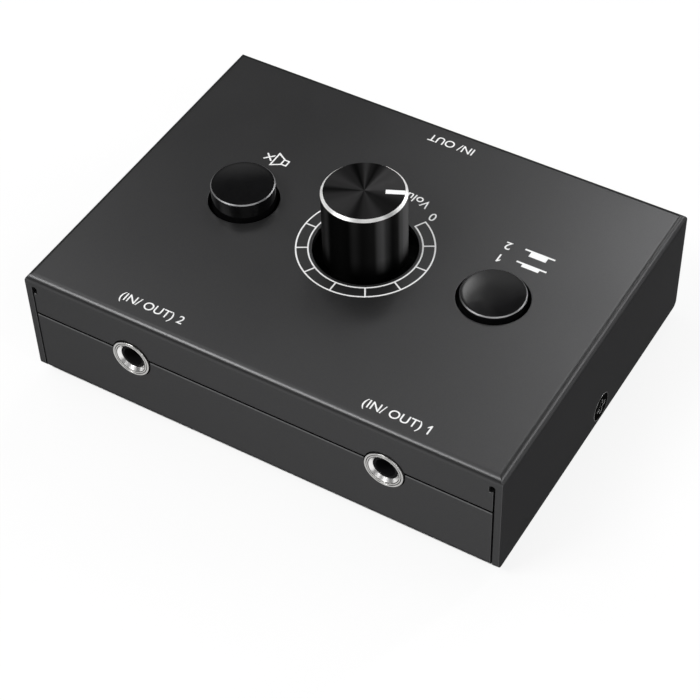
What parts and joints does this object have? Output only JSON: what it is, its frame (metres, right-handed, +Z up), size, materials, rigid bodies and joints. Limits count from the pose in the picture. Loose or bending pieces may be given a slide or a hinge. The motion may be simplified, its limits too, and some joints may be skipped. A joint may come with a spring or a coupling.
{
  "type": "audio switch box",
  "caption": "Low black sheet-metal audio switch box with a tall volume knob on a printed dial, round push buttons for mute and source, and jack sockets in the front and rear panels.",
  "frame": {"origin": "centre of the bounding box's underside, on the surface that the feet stand on", "axes": "+Z up, +X along the long side, -Y the panel with two jacks"},
  "size_m": [0.0906, 0.0684, 0.0366],
  "materials": {
    "case_paint": "satin black",
    "case_screw": "black",
    "foot_rubber": "matte",
    "plated_steel": "zinc plated",
    "board_black": "black solder mask",
    "nickel": "nickel plated",
    "moulded_black": "moulded",
    "contact_brass": "bare",
    "tinned_pin": "tinned",
    "element_brown": "laminate",
    "bare_aluminium": "turned",
    "knob_anodised": "black anodised, bright cut edge",
    "pointer_white": "filled line",
    "plunger_white": "moulded",
    "button_black": "gloss"
  },
  "bodies": {
    "case": {"top_cover": "case_paint", "bottom_tray": "case_paint", "side_screws": "case_screw", "feet": "foot_rubber", "standoffs": "plated_steel", "board": "board_black", "board_screws": "plated_steel", "pot_housing": "moulded_black", "pot_element": "element_brown", "pot_terminals": "tinned_pin", "left_jack_bush": "nickel", "left_jack_housing": "moulded_black", "left_jack_contacts": "contact_brass", "right_jack_bush": "nickel", "right_jack_housing": "moulded_black", "right_jack_contacts": "contact_brass", "rear_jack_bush": "nickel", "rear_jack_housing": "moulded_black", "rear_jack_contacts": "contact_brass", "mute_housing": "moulded_black", "mute_base": "moulded_black", "mute_terminals": "tinned_pin", "mute_spring": "plated_steel", "select_housing": "moulded_black", "select_base": "moulded_black", "select_terminals": "tinned_pin", "select_spring": "plated_steel"},
    "volume_knob": {"knob_shell": "knob_anodised", "knob_insert": "moulded_black", "knob_pointer": "pointer_white", "pot_shaft": "bare_aluminium", "pot_wiper": "contact_brass"},
    "mute_key": {"mute_button": "button_black", "mute_plunger": "plunger_white"},
    "select_key": {"select_button": "button_black", "select_plunger": "plunger_white"}
  },
  "joints": [
    {"name": "volume_turn", "type": "hinge", "parent": "case", "child": "volume_knob", "pos_m": [0.0013, 0, 0.0237], "axis": [0, 0, -1], "range_deg": [-35, 265]},
    {"name": "mute_press", "type": "slide", "parent": "case", "child": "mute_key", "axis": [0, 0, -1], "range_m": [0, 0.0029], "stiffness_N_per_m": 300, "springref_m": -0.003, "deforming": ["mute_spring"]},
    {"name": "select_press", "type": "slide", "parent": "case", "child": "select_key", "axis": [0, 0, -1], "range_m": [-0.0025, 0.0004], "deforming": ["select_spring"]}
  ]
}
